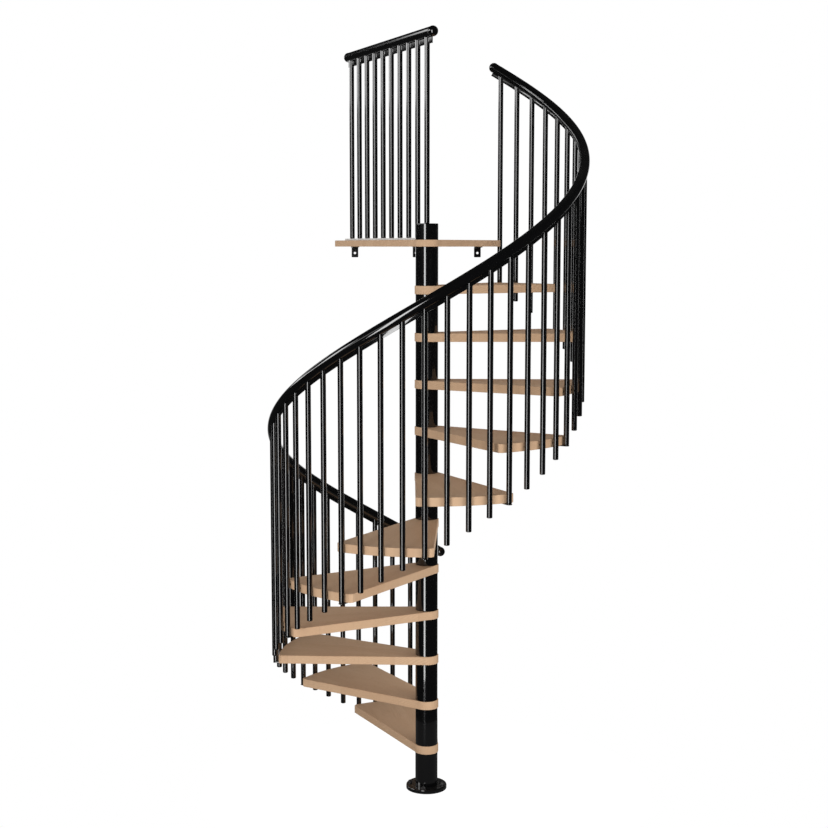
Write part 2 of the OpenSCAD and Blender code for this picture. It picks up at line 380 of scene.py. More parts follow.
@dataclass
class Piece:
    """One visible piece, gathered from solids and published as one object."""

    name: str
    finish: Finish
    replaces: Sequence[str] = ()
    crease: float = 33.0
    parts: list[tuple[Solid, np.ndarray]] = field(default_factory=list)

    def add(self, solid: Solid, grain: Optional[np.ndarray] = None) -> "Piece":
        """Add a solid, with its points' places in the wood where it is wood."""
        self.parts.append((solid, solid.points if grain is None else grain))
        return self

    def publish(self) -> None:
        """Make the mesh, weld its seams and poles, and let it ride on the root body."""
        points, faces = [], []
        for solid, _ in self.parts:
            faces += (solid.quads + len(points)).tolist()
            faces += (solid.triangles + len(points)).tolist()
            points += solid.points.tolist()
        mesh = bpy.data.meshes.new(self.name)
        mesh.from_pydata(points, [], faces)
        grain = np.concatenate([grain for _, grain in self.parts]).astype(np.float32)
        place = mesh.attributes.new(GRAIN, "FLOAT_VECTOR", "POINT")
        place.data.foreach_set("vector", grain.ravel())
        weld = bmesh.new()
        weld.from_mesh(mesh)
        bmesh.ops.remove_doubles(weld, verts=weld.verts, dist=WELD)
        bmesh.ops.dissolve_degenerate(weld, edges=weld.edges, dist=SLIVER)
        weld.to_mesh(mesh)
        weld.free()
        mesh.shade_smooth()
        mesh.set_sharp_from_angle(angle=math.radians(self.crease))
        mesh.materials.append(self.finish.material)
        piece = linked(self.name, mesh)
        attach(piece, "root")
        if self.replaces:
            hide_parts(*self.replaces)
        LOG.info("%s: %d faces", self.name, len(mesh.polygons))


# ---- shader code ----


def operation(kind: str, swapped: bool = False) -> Callable[..., "Field"]:
    """Return a method that puts a field and other values into a Math node.

    Args:
        kind: the node's operation.
        swapped: whether the field comes last.

    Returns:
        The method.
    """

    def method(self: "Field", *others: Value) -> "Field":
        """Join the field and the other values.

        Args:
            others: the values that join it.

        Returns:
            The Math node's result.
        """
        values = (*others, self) if swapped else (self, *others)
        node = self.bench.node("ShaderNodeMath", {"operation": kind}, dict(enumerate(values)))
        return self.bench.field(node)

    return method


class Field:
    """A number that changes over a surface, for Python arithmetic on sockets.

    The operators are Math nodes. fraction keeps what lies above the whole
    number, size drops the sign and at_least takes the greater of two.
    """

    def __init__(self, bench: "Bench", socket: bpy.types.NodeSocket) -> None:
        """Wrap a socket of a bench's node tree."""
        self.bench = bench
        self.socket = socket

    __add__ = __radd__ = operation("ADD")
    __sub__ = operation("SUBTRACT")
    __rsub__ = operation("SUBTRACT", swapped=True)
    __mul__ = __rmul__ = operation("MULTIPLY")
    __truediv__ = operation("DIVIDE")
    floor = operation("FLOOR")
    fraction = operation("FRACT")
    size = operation("ABSOLUTE")
    at_least = operation("MAXIMUM")

    def between(self, low: float, high: float) -> "Field":
        """Rise smoothly from 0 to 1.

        Args:
            low: where the rise starts.
            high: where it ends.

        Returns:
            The risen field.
        """
        settings = {"interpolation_type": "SMOOTHSTEP"}
        inputs = {"Value": self, "From Min": low, "From Max": high}
        return self.bench.field(self.bench.node("ShaderNodeMapRange", settings, inputs))

    def within(self, rise: Span, fall: Span) -> "Field":
        """Rise smoothly to 1 over one span, and fall back to 0 over another."""
        return self.between(*rise) * (1 - self.between(*fall))


class Bench:
    """A node tree in which a finish is put together."""

    def __init__(self, tree: bpy.types.NodeTree) -> None:
        """Start with an empty tree."""
        self.tree = tree
        tree.nodes.clear()

    def node(
        self, kind: str, settings: Optional[dict[str, Any]] = None,
        inputs: Optional[dict[Union[str, int], Any]] = None,
    ) -> bpy.types.Node:
        """Add a node.

        Args:
            kind: the node's type.
            settings: its properties.
            inputs: values, fields or sockets, by socket name, identifier or place.

        Returns:
            The node.
        """
        node = self.tree.nodes.new(kind)
        for key, value in (settings or {}).items():
            setattr(node, key, value)
        for key, value in (inputs or {}).items():
            if isinstance(key, int):
                socket = node.inputs[key]
            else:
                socket = next(s for s in node.inputs if key in (s.identifier, s.name))
            source = value.socket if isinstance(value, Field) else value
            if isinstance(source, bpy.types.NodeSocket):
                self.tree.links.new(source, socket)
            elif socket.type == "RGBA" and len(source) == 3:
                socket.default_value = (*source, 1.0)
            else:
                socket.default_value = source
        return node

    def field(self, node: bpy.types.Node, output: Union[str, int] = 0) -> Field:
        """Return one of a node's outputs as a field."""
        return Field(self, node.outputs[output])

    def vector(self, x: Value, y: Value, z: Value) -> bpy.types.NodeSocket:
        """Join three numbers in a vector."""
        return self.node("ShaderNodeCombineXYZ", None, {0: x, 1: y, 2: z}).outputs[0]

    def split(self, vector: bpy.types.NodeSocket) -> tuple[Field, Field, Field]:
        """Return a vector's three numbers."""
        node = self.node("ShaderNodeSeparateXYZ", None, {0: vector})
        return self.field(node, 0), self.field(node, 1), self.field(node, 2)

    def place(self, output: str = "Object") -> bpy.types.NodeSocket:
        """Return the coordinates that a pattern is read at."""
        return self.node("ShaderNodeTexCoord").outputs[output]

    def noise(
        self, place: bpy.types.NodeSocket, scale: float, detail: float = 2.0, rough: float = 0.5
    ) -> Field:
        """Return noise from 0 to 1 with scale cells to a metre, and detail finer layers."""
        inputs = {"Vector": place, "Scale": scale, "Detail": detail, "Roughness": rough}
        return self.field(self.node("ShaderNodeTexNoise", None, inputs), "Fac")

    def chance(self, x: Value, y: Value) -> tuple[Field, Field, Field]:
        """Return three random numbers that stay the same over each pair of x and y."""
        inputs = {"Vector": self.vector(x, y, 0.5)}
        return self.split(self.node("ShaderNodeTexWhiteNoise", None, inputs).outputs["Color"])

    def blend(self, factor: Value, a: Any, b: Any) -> bpy.types.NodeSocket:
        """Mix two colours.

        Args:
            factor: 0 for the first and 1 for the second.
            a: the first colour.
            b: the second.

        Returns:
            The mixed colour.
        """
        inputs = {"Factor_Float": factor, "A_Color": a, "B_Color": b}
        node = self.node("ShaderNodeMix", {"data_type": "RGBA"}, inputs)
        return next(s for s in node.outputs if s.identifier == "Result_Color")

    def bump(self, height: Field, distance: float, strength: float) -> bpy.types.NodeSocket:
        """Return the normal of a fine relief, with its height in metres."""
        inputs = {"Height": height, "Distance": distance, "Strength": strength}
        return self.node("ShaderNodeBump", None, inputs).outputs[0]

    def surface(self, inputs: dict[Union[str, int], Any]) -> None:
        """End the tree with a Principled shader."""
        shader = self.node("ShaderNodeBsdfPrincipled", None, inputs)
        self.node("ShaderNodeOutputMaterial", None, {"Surface": shader.outputs[0]})


def new_bench(name: str) -> tuple[bpy.types.Material, Bench]:
    """Start a material.

    Args:
        name: its name.

    Returns:
        The material and the bench to make it on.
    """
    material = bpy.data.materials.new(name)
    material.use_nodes = True
    return material, Bench(material.node_tree)


@dataclass(frozen=True)
class OakFinish:
    """Solid oak glued up from staves, under a matt lacquer.

    The grain runs along the first coordinate of each point's place in the wood,
    the staves lie side by side along the second, and the third is the depth.
    """

    name: str = "oak_lacquered"
    pale: Colour = (0.620, 0.425, 0.270)
    warm: Colour = (0.560, 0.365, 0.225)
    late: Colour = (0.410, 0.250, 0.148)
    pore: Colour = (0.170, 0.100, 0.060)
    stave_w: float = 0.043
    stave_l: float = 0.46
    ring_gap: float = 5.5 * MM
    roughness: float = 0.58
    # Cells to a metre along and across the grain.
    wander: Span = (1.6, 9)
    flame: Span = (3.1, 22)
    fibre: Span = (14, 620)
    streak: Span = (2.2, 95)
    pores: Span = (46, 1250)
    mottle: Span = (5, 30)

    def material(self) -> bpy.types.Material:
        """Build the wood's nodes.

        Returns:
            The material.
        """
        material, bench = new_bench(self.name)
        place = bench.node("ShaderNodeAttribute", {"attribute_name": GRAIN}).outputs["Vector"]
        along, across, depth = bench.split(place)
        row = across / self.stave_w
        lane = row.floor()
        shift, _, _ = bench.chance(lane, 3.7)
        course = along / self.stave_l + shift
        tone, drift, tilt = bench.chance(lane, course.floor())
        # Each stave is cut from another place in the log.
        x = along + drift * 9
        y = across + tilt * 5
        z = depth + tone * 3

        def drawn(cells: Span, detail: float = 2.0, rough: float = 0.5) -> Field:
            """Return noise that is drawn out along the grain."""
            stretched = bench.vector(x * cells[0], y * cells[1], z * cells[1])
            return bench.noise(stretched, 1.0, detail, rough)

        wander, flame = drawn(self.wander) - 0.5, drawn(self.flame, 3.0) - 0.5
        radius = y * (0.55 + 0.45 * tilt) + z * 0.8 + wander * 0.06 + flame * 0.014
        ring = (radius / self.ring_gap).fraction()
        late = ring.within((0.35, 0.93), (0.93, 1.0))
        fibre, streak = drawn(self.fibre, 3.0, 0.6), drawn(self.streak, 3.0, 0.55)
        pores = drawn(self.pores, 1.0).between(0.60, 0.72) * (0.25 + 0.75 * (1 - late))
        seam = (row.fraction() - 0.5).size().between(0.485, 0.497)
        ends = (course.fraction() - 0.5).size().between(0.4982, 0.4996)
        mixed = 0.20 + 0.60 * tone + 0.35 * (drawn(self.mottle) - 0.5)
        body = bench.blend(mixed, self.pale, self.warm)
        grown = bench.blend(late * (0.20 + 0.44 * streak), body, self.late)
        fine = bench.blend((fibre - 0.42).at_least(0.0) * 0.85, grown, self.late)
        open_grain = bench.blend(pores * 0.50, fine, self.pore)
        colour = bench.blend(seam.at_least(ends) * 0.12, open_grain, self.pore)
        relief = fibre * 0.35 - pores * 0.8 - seam.at_least(ends) * 0.5 + late * 0.2
        bench.surface({
            "Base Color": colour,
            "Roughness": self.roughness + 0.10 * streak + 0.10 * pores - 0.06 * late,
            "Specular IOR Level": 0.16,
            "Normal": bench.bump(relief, 0.16 * MM, 0.35),
        })
        return material


@dataclass(frozen=True)
class PaintFinish:
    """Paint on steel, gloss black unless said, with faint orange peel and a little dust."""

    name: str
    base: Colour = (0.0020, 0.0020, 0.0022)
    dust: Colour = (0.012, 0.0115, 0.011)
    roughness: float = 0.10
    peel: float = 0.06
    coat: float = 1.0
    # Cells to a metre of the orange peel, its slow swell, the wiped dust and its specks.
    peel_scale: float = 420.0
    swell_scale: float = 38.0
    wipe_scale: float = 7.0
    speck_scale: float = 900.0

    def material(self) -> bpy.types.Material:
        """Build the paint's nodes.

        Returns:
            The material.
        """
        material, bench = new_bench(self.name)
        place = bench.place()
        _, _, up = bench.split(bench.node("ShaderNodeNewGeometry").outputs["Normal"])
        peel, swell = bench.noise(place, self.peel_scale), bench.noise(place, self.swell_scale)
        wipe = bench.noise(place, self.wipe_scale, 4.0, 0.6)
        speck = bench.noise(place, self.speck_scale, 1.0).between(0.66, 0.74)
        lying = up.between(0.55, 0.98) * (0.35 + 0.65 * wipe.between(0.40, 0.66))
        colour = bench.blend(lying * (0.25 + 0.75 * speck), self.base, self.dust)
        bench.surface({
            "Base Color": colour,
            "Roughness": self.roughness + 0.06 * wipe + 0.20 * lying,
            "IOR": 1.5,
            "Coat Weight": self.coat - 0.4 * lying,
            "Coat Roughness": 0.03,
            "Coat IOR": 1.6,
            "Normal": bench.bump(peel * 0.25 + swell, 0.02 * MM, self.peel),
        })
        return material


@dataclass(frozen=True)
class BoltFinish:
    """Blackened steel of the bolts and screws, brighter where a spanner rubs."""

    name: str = "blackened_steel"
    base: Colour = (0.055, 0.054, 0.055)
    rubbed: Colour = (0.32, 0.31, 0.30)
    scuff_scale: float = 260.0

    def material(self) -> bpy.types.Material:
        """Build the metal's nodes.

        Returns:
            The material.
        """
        material, bench = new_bench(self.name)
        scuff = bench.noise(bench.place(), self.scuff_scale, 4.0, 0.65)
        rub = scuff.between(0.56, 0.70)
        bench.surface({
            "Base Color": bench.blend(rub * 0.7, self.base, self.rubbed),
            "Metallic": 0.55 + 0.4 * rub,
            "Roughness": 0.34 - 0.10 * rub,
            "Normal": bench.bump(scuff, 0.05 * MM, 0.2),
        })
        return material


@dataclass(frozen=True)
class Finishes:
    """The finishes that the pieces share."""

    oak: Finish
    steel: Finish
    handrail: Finish
    bolt: Finish
    pale_bar: Finish

    @classmethod
    def made(cls) -> "Finishes":
        """Make every material once.

        Returns:
            The finishes.
        """
        handrail = PaintFinish("handrail_gloss_black", roughness=0.08, peel=0.05)
        pale_bar = PaintFinish(
            "foot_bar_white", (0.90, 0.90, 0.89), (0.78, 0.77, 0.75), roughness=0.32, coat=0.2
        )
        return cls(
            oak=Finish(OakFinish().material(), Slot.OAK),
            steel=Finish(PaintFinish("steel_gloss_black").material(), Slot.STEEL),
            handrail=Finish(handrail.material(), Slot.HANDRAIL),
            bolt=Finish(BoltFinish().material(), Slot.STEEL),
            pale_bar=Finish(pale_bar.material(), Slot.BAR),
        )


# ---- plan ----


@dataclass(frozen=True)
class Plan:
    """The sizes that the sub-assemblies share, in metres and degrees."""

    rise: float = 0.235
    tread_count: int = 11
    tread_turn: float = 30.0
    stair_end: float = 60.0
    column_r: float = 0.05715
    collar_r: float = 0.06105
    side_r: float = 0.05905
    post_bore_r: float = 0.0303
    tread_r: float = 0.756
    tread_t: float = 0.042
    tread_overlap: float = 3.2
    corner_cut: float = 0.012
    landing_t: float = 0.034
    landing_depth: float = 1.0
    landing_rail_turn: float = 115.0
    baluster_r: float = 0.01345
    baluster_gap: float = 0.00355
    per_tread: int = 4
    rail_r: float = 0.0254
    ball_r: float = 0.0264
    rail_h: float = 1.118
    landing_rail_h: float = 1.004
    rail_near_end: float = 0.060
    rail_far_end: float = 0.037
    rail_high_end: float = 0.041
    rail_low_end: float = 0.071
    strip_t: float = 0.006
    strip_h: float = 0.017
    landing_strip_h: float = 0.030

    @property
    def landing_z(self) -> float:
        """Height of the landing's underside."""
        return (self.tread_count + 1) * self.rise - self.tread_t

    @property
    def landing_top(self) -> float:
        """Height of the landing's walking surface."""
        return self.landing_z + self.landing_t

    @property
    def railing_r(self) -> float:
        """Radius of the circle that the stair balusters stand on."""
        return self.tread_r + self.baluster_gap + self.baluster_r

    @property
    def start_turn(self) -> float:
        """Direction of the first baluster, in degrees."""
        return 360 + self.stair_end - self.tread_count * self.tread_turn

    @property
    def slope(self) -> float:
        """Slope of the handrail in degrees."""
        return math.degrees(math.atan2(self.rise, math.radians(self.tread_turn) * self.railing_r))

    @property
    def corner_turn(self) -> float:
        """Angle between a tread's outer corner and its centre line, in degrees."""
        return self.tread_turn / 2 + self.tread_overlap

    @property
    def lean(self) -> float:
        """Angle between a tread's side edge and its centre line, in degrees."""
        return self.corner_turn - math.degrees(math.asin(self.side_r / self.tread_r))

    def side_line(self, turn: float, hand: int) -> Triple:
        """Return a straight edge that passes the axis at side_r.

        Args:
            turn: its direction in degrees.
            hand: 1 where it passes on the left of the axis, and -1 on the right.

        Returns:
            Its direction, its nearest point and where it leaves the round collar.
        """
        along = direction(turn)
        nearest = hand * self.side_r * np.array([-along[1], along[0]])
        return along, nearest, nearest + math.sqrt(self.collar_r**2 - self.side_r**2) * along

    def centre_turn(self, tread: int) -> float:
        """Return the direction of a tread's centre line in degrees."""
        return self.start_turn + (tread - 0.5) * self.tread_turn

    def baluster_turn(self, number: int) -> float:
        """Return the direction of a stair baluster in degrees."""
        return self.start_turn + number * self.tread_turn / self.per_tread

    def pitch_z(self, turn: Union[float, np.ndarray]) -> Union[float, np.ndarray]:
        """Return the height of the pitch line through the treads' edges."""
        return (turn - self.start_turn) / self.tread_turn * self.rise

    def helix(self, turn: np.ndarray) -> Triple:
        """Return the handrail's centre line with its outward and upward directions.

        The line is (R cos a, R sin a, h(a)). Outward is (cos a, sin a, 0), and
        upward is square to both the line and outward.

        Args:
            turn: the directions of the points, in degrees.

        Returns:
            The points, the outward directions and the upward ones.
        """
        (c, s), (run, climb) = direction(turn).T, direction(self.slope)
        outward = np.stack([c, s, 0 * c], -1)
        centre = self.railing_r * outward
        centre[:, 2] = self.pitch_z(turn) + self.rail_h
        return centre, outward, np.stack([climb * s, -climb * c, 0 * c + run], -1)

    def along_helix(self, length: float) -> float:
        """Return the turn in degrees that a length of handrail makes."""
        return math.degrees(length * math.cos(math.radians(self.slope)) / self.railing_r)


# ---- small fittings ----


def rod(radius: float, length: float, foot: float, sides: int = 40) -> Solid:
    """Return an upright round rod with a rounded foot at z = 0.

    Args:
        radius: the rod's radius.
        length: its length.
        foot: radius of the rounding at its foot.
        sides: the number of points round it.

    Returns:
        The rod.
    """
    land = 2 * MM
    under, side = [[0, 0], [radius - foot - land, 0]], [[radius, foot + land], [radius, length]]
    rounding = arc((radius - foot, foot), foot, 270, 360)
    return revolve(np.concatenate([under, rounding, side, [[0, length]]]), sides)


def hex_bolt(flats: float, head: float) -> Solid:
    """Return a hexagon head with a chamfered crown, standing on z = 0."""
    r = flats / math.sqrt(3)
    return revolve([[0, 0], [r, 0], [r, 0.80 * head], [0.86 * r, head], [0, head]], 6)


def washer(inner: float, r: float, h: float) -> Solid:
    """Return a flat ring of outer radius r with softened edges, standing on z = 0."""
    e, close = 0.25 * h, [[inner, h], [inner, 0]]
    return revolve([[inner, 0], [r - e, 0], [r, e], [r, h - e], [r - e, h], *close], 24)


def screw_head(r: float) -> Solid:
    """Turn a domed screw head with a round socket, standing on z = 0.

    Args:
        r: the head's radius.

    Returns:
        The head.
    """
    h = 0.55 * r
    dome = [[0, 0], [r, 0], [r, 0.25 * h], [0.85 * r, 0.75 * h], [0.5 * r, h]]
    return revolve([*dome, [0.42 * r, h], [0.36 * r, 0.35 * h], [0, 0.35 * h]], 12)


def tube_foot(r: float, low: float, chamfer: float) -> list[list[float]]:
    """Return the outer profile of a tube's chamfered lower end, from the end upwards."""
    return [[r - chamfer, low], [r, low + chamfer], [r, low + 3 * chamfer]]


def ball_end(radius: float, tube_r: float) -> Solid:
    """Return the ball that closes a handrail, along Z with its flat at z = 0.

    Args:
        radius: the ball's radius.
        tube_r: the radius of the tube that it closes.

    Returns:
        The ball, whose centre stands at sqrt(radius^2 - tube_r^2).
    """
    seat = math.sqrt(radius**2 - tube_r**2)
    ball = arc((0, seat), radius, -math.degrees(math.asin(seat / radius)), 90, 20)
    ball[-1, 0] = 0
    return revolve(np.concatenate([[[0, 0]], ball]), 40)


# ---- sub-assemblies ----


@dataclass
class Assembly:
    """A sub-assembly, whose pieces share the plan and the finishes."""

    plan: Plan
    finishes: Finishes


@dataclass
class Column(Assembly):
    """The floor flange with its bolts, the spacer tubes and the top with its cap."""

    flange_r: float = 0.1040
    flange_t: float = 0.020
    flange_low: float = 0.5 * MM
    flange_round: float = 4 * MM
    bolt_ring_r: float = 0.085
    bolt_hole_r: float = 7 * MM
    bolt_start: float = 79.0
    bolt_count: int = 4
    bolt_flats: float = 19 * MM
    bolt_head: float = 8 * MM
    head_turn: float = 17.0
    shank_r: float = 5.8 * MM
    shank_out: float = 3 * MM
    shank_foot: float = 1 * MM
    washer_bore: float = 6.5 * MM
    washer_r: float = 12 * MM
    washer_t: float = 2.5 * MM
    tube_wall: float = 4 * MM
    tube_chamfer: float = 0.8 * MM
    tube_sides: int = 72
    top_h: float = 0.080
    top_round: float = 3 * MM

    def bolt_places(self) -> np.ndarray:
        """Return the bolts' centres on the flange."""
        turns = self.bolt_start + np.arange(self.bolt_count) * 360 / self.bolt_count
        return self.bolt_ring_r * direction(turns)

    def flange(self) -> None:
        """Build the flange: a round slab with its four bolt holes."""
        holes = [circle(self.bolt_hole_r, 24, c) for c in self.bolt_places()]
        rim = circle(self.flange_r, 96)
        board = slab(rim, self.flange_t, self.flange_low, self.flange_round, holes)
        Piece("floor_flange", self.finishes.steel, ["base_flange"]).add(board).publish()

    def bolts(self) -> None:
        """Build the floor bolts: a washer, a head and a shank in each hole."""
        piece = Piece("floor_bolts", self.finishes.bolt, crease=20)
        ring = washer(self.washer_bore, self.washer_r, self.washer_t)
        head = hex_bolt(self.bolt_flats, self.bolt_head)
        shank = rod(self.shank_r, self.flange_t + self.shank_out, self.shank_foot, 16)
        for n, (x, y) in enumerate(self.bolt_places()):
            piece.add(ring.placed((x, y, self.flange_t), UPRIGHT))
            crown = (x, y, self.flange_t + self.washer_t)
            piece.add(head.placed(crown, z_turn(self.head_turn * n)))
            piece.add(shank.placed((x, y, 0), UPRIGHT))
        piece.publish()

    def tubes(self) -> None:
        """Build the spacer tubes: a ring section with chamfered ends, turned about Z."""
        piece = Piece("spacer_tubes", self.finishes.steel, ["column_spacers"])
        r, c, inner = self.plan.column_r, self.tube_chamfer, self.plan.column_r - self.tube_wall
        for n in range(self.plan.tread_count + 1):
            low = self.flange_t if n == 0 else n * self.plan.rise
            high = (n + 1) * self.plan.rise - self.plan.tread_t
            foot, head = tube_foot(r, low, c), [[r, high - 3 * c], [r, high - c], [r - c, high]]
            loop = [[inner, low], *foot, *head, [inner, high], [inner, low]]
            piece.add(revolve(loop, self.tube_sides))
        piece.publish()

    def top(self) -> None:
        """Build the column's top: a closed tube with a rounded shoulder."""
        r, c, bend = self.plan.column_r, self.tube_chamfer, self.top_round
        low, high = self.plan.landing_top, self.plan.landing_top + self.top_h
        side = [[0, low], *tube_foot(r, low, c), [r, high - bend - 2 * c]]
        shoulder = arc((r - bend, high - bend), bend, 0, 90)
        profile = np.concatenate([side, shoulder, [[r - bend - 2 * c, high], [0, high]]])
        cap = revolve(profile, self.tube_sides)
        Piece("column_cap", self.finishes.steel, ["column_top"]).add(cap).publish()

    def build(self) -> None:
        """Build every piece of the column."""
        self.flange()
        self.bolts()
        self.tubes()
        self.top()


@dataclass
class Boards(Assembly):
    """What the treads and the landing share: oak boards threaded on the post."""

    edge_top: float = 3.0 * MM
    edge_low: float = 2.0 * MM
    corner_round: float = 4.0 * MM
    spacing: float = 0.016

    def board(self, corners: np.ndarray, radii: np.ndarray, thickness: float) -> Solid:
        """Cut a board with softened corners and edges, and the bore for the post.

        Args:
            corners: the outline's corners.
            radii: the rounding of each.
            thickness: the board's thickness.

        Returns:
            The board, along Z from 0.
        """
        outline = divided(softened(corners, radii), self.spacing)
        bore = circle(self.plan.post_bore_r, 48)
        return slab(outline, thickness, self.edge_low, self.edge_top, [bore])


@dataclass
class Treads(Boards):
    """The wedge treads, each a board with a round collar about the column."""

    timber_step: tuple[float, float, float] = (1.37, 0.613, 0.21)
    timber_shift: float = 9 * MM

    def outline(self) -> tuple[np.ndarray, np.ndarray]:
        """Draw a tread about its centre line, along +X.

        Each side is a straight line that passes the axis at side_r and leans
        outwards by the lean. A circle is the collar, a larger one the outer edge.

        Returns:
            The outline's corners, and the rounding of each.
        """
        plan, mirror = self.plan, np.array([1.0, -1.0])
        along, _, leave = plan.side_line(plan.lean, 1)
        start = plan.tread_r * direction(plan.corner_turn) - plan.corner_cut * along
        cut_turn = plan.corner_turn - math.degrees(plan.corner_cut / plan.tread_r)
        collar = arc((0, 0), plan.collar_r, turn_of(leave), 360 - turn_of(leave), 48)
        edge = arc((0, 0), plan.tread_r, -cut_turn, cut_turn, 24)
        corners = np.concatenate([collar, [start * mirror], edge, [start]])
        radii = np.zeros(len(corners))
        radii[[len(collar), len(collar) + 1, -2, -1]] = self.corner_round
        return corners, radii

    def build(self) -> None:
        """Build the treads, each from its own place in the timber."""
        plan = self.plan
        board = self.board(*self.outline(), plan.tread_t)
        for n in range(1, plan.tread_count + 1):
            origin = (0, 0, n * plan.rise - plan.tread_t)
            timber = n * np.array(self.timber_step) + [0, self.timber_shift * (n % 3), 0]
            piece = Piece(f"oak_tread_{n}", self.finishes.oak, [f"tread_{n}"])
            placed = board.placed(origin, z_turn(plan.centre_turn(n)))
            piece.add(placed, board.points + timber).publish()


@dataclass
class Landing(Boards):
    """The landing board with its wall brackets."""

    notch_gap: float = 2 * MM
    notch_round: float = 1.5 * MM
    timber: tuple[float, float, float] = (31.3, 17.23, 4.4)
    bracket_w: float = 38 * MM
    bracket_drop: float = 60 * MM
    bracket_flange: float = 70 * MM
    bracket_ear: float = 8 * MM
    bracket_t: float = 5 * MM
    bracket_round: float = 5 * MM
    bracket_fold: float = 0.5 * MM
    bracket_edge: float = 0.6 * MM
    bracket_step: float = 10 * MM
    bracket_hole_r: float = 6.5 * MM
    bracket_hole_drop: float = 36 * MM
    bracket_spacing: float = 0.345
    bracket_count: int = 3
    screw_r: float = 5 * MM
    screw_places: Sequence[Span] = ((-0.009, -0.024), (0.015, -0.040), (-0.009, -0.056))

    def corners(self) -> tuple[np.ndarray, np.ndarray]:
        """Draw the landing.

        The front edge starts at the collar like a tread's nosing, the right side
        runs straight back past a round notch, and the left side follows the railing.

        Returns:
            The outline's corners, and the rounding of each.
        """
        plan = self.plan
        nose_turn = plan.centre_turn(plan.tread_count + 1) - plan.lean
        nose, nose_start, nose_leave = plan.side_line(nose_turn, -1)
        left, left_start, left_leave = plan.side_line(plan.landing_rail_turn, 1)
        right, notch_y = plan.railing_r * direction(plan.stair_end)
        tip = nose_start + (right - nose_start[0]) / nose[0] * nose
        far_left = left_start + (plan.landing_depth - left_start[1]) / left[1] * left
        collar = arc((0, 0), plan.collar_r, turn_of(left_leave), turn_of(nose_leave) + 360, 40)
        notch = arc((right, notch_y), plan.baluster_r + self.notch_gap, 270, 90, 16)
        front = [tip - plan.corner_cut * nose, tip + [0, plan.corner_cut]]
        back = [[right, plan.landing_depth], far_left]
        radii = np.repeat(
            [0, self.corner_round, self.notch_round, 0, self.notch_round, self.corner_round],
            [len(collar), 2, 1, len(notch) - 2, 1, 2],
        )
        return np.concatenate([collar, front, notch, back]), radii

    def platform(self) -> float:
        """Build the board, with its grain along X.

        Returns:
            The middle of its far edge, along X.
        """
        corners, radii = self.corners()
        board = self.board(corners, radii, self.plan.landing_t)
        placed = board.placed((0, 0, self.plan.landing_z), UPRIGHT)
        piece = Piece("oak_landing", self.finishes.oak, ["landing_platform"])
        piece.add(placed, board.points + np.array(self.timber)).publish()
        return float(corners[-2:, 0].mean())

    def plate(self, corners: np.ndarray, radii: Sequence[float], *holes: np.ndarray) -> Solid:
        """Return one leg of a bracket, with its corners' rounding and its holes."""
        outline, e = divided(softened(corners, radii), self.bracket_step), self.bracket_edge
        return slab(outline, self.bracket_t, e, e, holes)

    def brackets(self, middle: float) -> None:
        """Build the L-shaped wall brackets and their screws.

        Args:
            middle: the middle of the landing's far edge, along X.
        """
        t, half, r, fold = self.bracket_t, self.bracket_w / 2, self.bracket_round, self.bracket_fold
        piece = Piece("wall_brackets", self.finishes.steel, ["landing_brackets"])
        screws = Piece("wall_bracket_screws", self.finishes.bolt, crease=50)
        hole = circle(self.bracket_hole_r, 32, (0, -self.bracket_hole_drop))
        leg = rectangle(-half, -self.bracket_drop, half, 0)
        wing = rectangle(-half, -self.bracket_flange, half + self.bracket_ear, 0)
        upright = self.plate(leg, [r, r, fold, fold], hole)
        flange, head = self.plate(wing, [r, r, r, fold]), screw_head(self.screw_r)
        for i in range(self.bracket_count):
            x = middle + (i - (self.bracket_count - 1) / 2) * self.bracket_spacing
            origin = np.array([x, self.plan.landing_depth, self.plan.landing_z])
            piece.add(upright.placed(origin, [[1, 0, 0], [0, 0, 1], [0, -1, 0]]))
            piece.add(flange.placed(origin - [0, 0, t], UPRIGHT))
            for dx, dy in self.screw_places:
                screws.add(head.placed(origin + [dx, dy, -t], UPSIDE_DOWN))
        piece.publish()
        screws.publish()

    def build(self) -> None:
        """Build the board and its brackets."""
        self.brackets(self.platform())


@dataclass
class Railing(Assembly):
    """What the two railings share: round balusters, and a handrail on a flat strip."""

    foot_round: float = 4 * MM
    seat: float = 6 * MM
    strip_round: float = 1.2 * MM
    strip_bite: float = 0.75

    def handrail(
        self, path: Triple, strip_h: float, names: Sequence[str], nodes: Sequence[str]
    ) -> None:
        """Build a tube, the strip under it and the balls at its two ends.

        Args:
            path: the tube's points, and the outward and upward directions there.
            strip_h: how far the strip shows under the tube.
            names: the names of the tube, the strip and the balls.
            nodes: the CAD nodes that they replace.
        """
        plan, rail, steel = self.plan, self.finishes.handrail, self.finishes.steel
        rows = zip(names, (rail, steel, rail), nodes)
        tube, strip, balls = (Piece(name, finish, [node]) for name, finish, node in rows)
        tube.add(swept(*path, circle(plan.rail_r, 40))).publish()
        half, low, high = plan.strip_t / 2, -plan.rail_r - strip_h, -self.strip_bite * plan.rail_r
        section = softened(rectangle(-half, low, half, high), self.strip_round, 3)
        strip.add(swept(*path, section)).publish()
        ball = ball_end(plan.ball_r, plan.rail_r)
        for end, sign in ((0, -1.0), (-1, 1.0)):
            centre, outward, upward = (p[end] for p in path)
            along = np.cross(upward, outward) * sign
            balls.add(ball.placed(centre, [outward, upward, along]))
        balls.publish()


